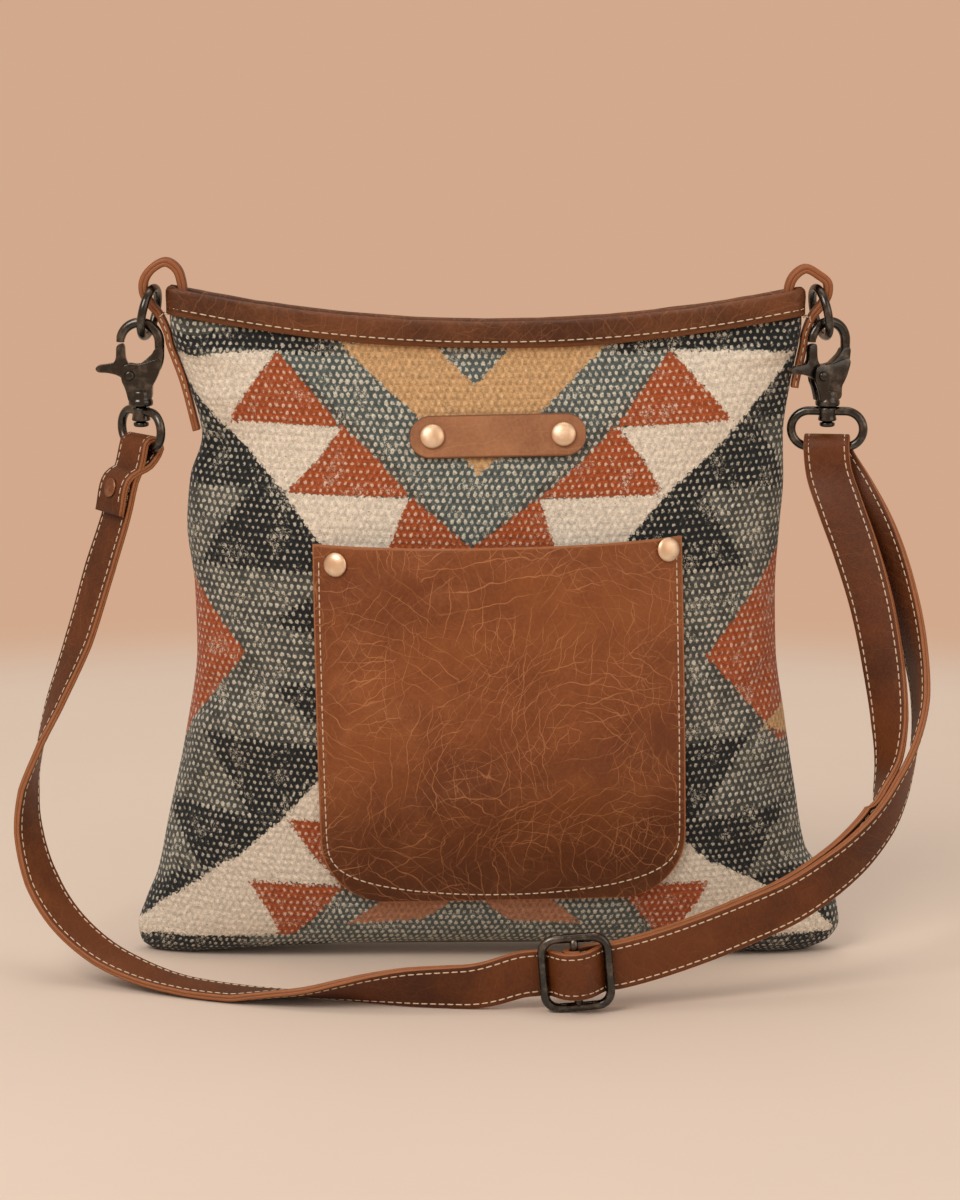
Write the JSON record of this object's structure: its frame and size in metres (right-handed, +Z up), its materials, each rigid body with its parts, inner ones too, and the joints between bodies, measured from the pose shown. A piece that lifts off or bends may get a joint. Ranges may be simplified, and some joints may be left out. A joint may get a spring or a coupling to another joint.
{
  "type": "crossbody bag",
  "caption": "Slouchy kilim-cloth crossbody bag with a leather front pocket, bound zip mouth and an adjustable leather strap clipped to side rings",
  "frame": {"origin": "middle of the whole footprint, on the floor the bag stands on", "axes": "+X to the right seen from the front, the front faces -Y, +Z up"},
  "size_m": [0.378, 0.1418, 0.2948],
  "materials": {
    "kilim_cloth": "coarse flat weave with printed kilim figures in cream, rust, black and grey",
    "lining_cloth": "plain cotton",
    "pocket_leather": "waxed pull-up leather, crackled",
    "tab_leather": "waxed leather, bare",
    "lip_leather": "waxed leather binding, stitched",
    "strap_leather": "two-ply waxed leather with raw tan edges",
    "dark_metal": "dark antique bronze plating",
    "rivet_metal": "antique copper domes",
    "zip_tape": "woven tape",
    "zip_metal": "aged brass"
  },
  "bodies": {
    "bag": {"front_panel": "kilim_cloth", "back_panel": "kilim_cloth", "lining": "lining_cloth", "front_lip": "lip_leather", "back_lip": "lip_leather", "zip_tape_front": "zip_tape", "zip_tape_back": "zip_tape", "zip_coil_front": "zip_metal", "zip_coil_back": "zip_metal", "zip_stop_left": "zip_metal", "zip_stop_right": "zip_metal", "pocket": "pocket_leather", "pocket_rivet_left": "rivet_metal", "pocket_rivet_right": "rivet_metal", "tab": "tab_leather", "tab_rivet_left": "rivet_metal", "tab_rivet_right": "rivet_metal", "left_loop": "pocket_leather", "right_loop": "pocket_leather"},
    "zip_slider": {"zip_slider": "zip_metal"},
    "zip_pull": {"zip_pull": "zip_metal"},
    "left_ring": {"left_ring": "dark_metal"},
    "right_ring": {"right_ring": "dark_metal"},
    "strap": {"strap": "strap_leather", "strap_rivet": "rivet_metal", "buckle": "dark_metal", "left_eye": "dark_metal", "right_eye": "dark_metal"},
    "left_clasp": {"left_clasp": "dark_metal", "left_trigger_pin": "dark_metal"},
    "right_clasp": {"right_clasp": "dark_metal", "right_trigger_pin": "dark_metal"},
    "left_trigger": {"left_trigger": "dark_metal"},
    "right_trigger": {"right_trigger": "dark_metal"}
  },
  "joints": [
    {"name": "zip_slide", "type": "hinge", "parent": "bag", "child": "zip_slider", "pos_m": [0.00803, 0.03358, 0.8872], "axis": [0, -1, 0], "range_deg": [0, 18.4]},
    {"name": "pull_flip", "type": "hinge", "parent": "zip_slider", "child": "zip_pull", "pos_m": [-0.09408, 0.03358, 0.27501], "axis": [0, -1, 0], "range_deg": [0, 170]},
    {"name": "left_ring_turn", "type": "hinge", "parent": "bag", "child": "left_ring", "pos_m": [-0.13297, 0.03358, 0.2721], "axis": [0.9586, -0.2013, -0.2013], "continuous": true},
    {"name": "right_ring_turn", "type": "hinge", "parent": "bag", "child": "right_ring", "pos_m": [0.14523, 0.03358, 0.2721], "axis": [0.9586, 0.2013, 0.2013], "continuous": true},
    {"name": "strap_swing", "type": "hinge", "parent": "bag", "child": "strap", "pos_m": [0.00403, 0.03358, 0.2721], "axis": [-1, 0, 0], "range_deg": [0, 50]},
    {"name": "left_swivel", "type": "hinge", "parent": "strap", "child": "left_clasp", "pos_m": [-0.13687, 0.03148, 0.2312], "axis": [0, 0, 1], "range_deg": [-25, 25]},
    {"name": "right_swivel", "type": "hinge", "parent": "strap", "child": "right_clasp", "pos_m": [0.14843, 0.03148, 0.2312], "axis": [0, 0, 1], "range_deg": [-2.5, 10]},
    {"name": "left_gate", "type": "hinge", "parent": "left_clasp", "child": "left_trigger", "pos_m": [-0.14107, 0.03148, 0.2462], "axis": [0, 1, 0], "range_deg": [0, 25], "stiffness_Nm_per_rad": 0.03, "springref_deg": -28.65},
    {"name": "right_gate", "type": "hinge", "parent": "right_clasp", "child": "right_trigger", "pos_m": [0.14466, 0.02963, 0.2462], "axis": [-0.4384, 0.8988, 0], "range_deg": [0, 25], "stiffness_Nm_per_rad": 0.03, "springref_deg": -28.65}
  ]
}
